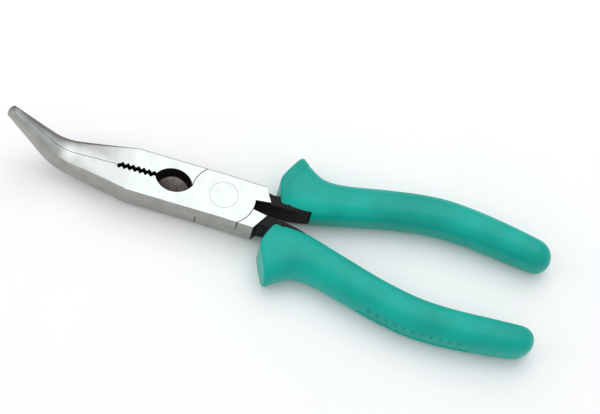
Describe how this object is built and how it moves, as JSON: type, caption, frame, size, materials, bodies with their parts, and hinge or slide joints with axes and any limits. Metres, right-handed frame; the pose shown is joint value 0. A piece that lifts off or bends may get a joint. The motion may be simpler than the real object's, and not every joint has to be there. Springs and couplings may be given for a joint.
{
  "type": "bent long-nose pliers",
  "caption": "Bent long-nose pliers with a riveted lap joint, side cutter, pipe teeth and moulded grips with thumb guards.",
  "frame": {"origin": "where the pivot axis meets the flat back face of the head", "axes": "+X from the pivot towards the handle ends, +Y towards the handle that is joined to the front of the lap, +Z along the pivot axis towards the side that the nose bends to"},
  "size_m": [0.1995, 0.0561, 0.0277],
  "materials": {
    "steel": "ground and satin nickel plated, necks black oxide",
    "rivet_steel": "ground flush",
    "grip": "satin moulded"
  },
  "bodies": {
    "front_assembly": {"front_half": "steel", "pivot_rivet": "rivet_steel", "upper_grip": "grip"},
    "rear_assembly": {"rear_half": "steel", "lower_grip": "grip"}
  },
  "joints": [
    {"name": "pivot", "type": "hinge", "parent": "front_assembly", "child": "rear_assembly", "pos_m": [0, 0, 0.0053], "axis": [0, 0, -1], "range_deg": [0, 40]}
  ]
}
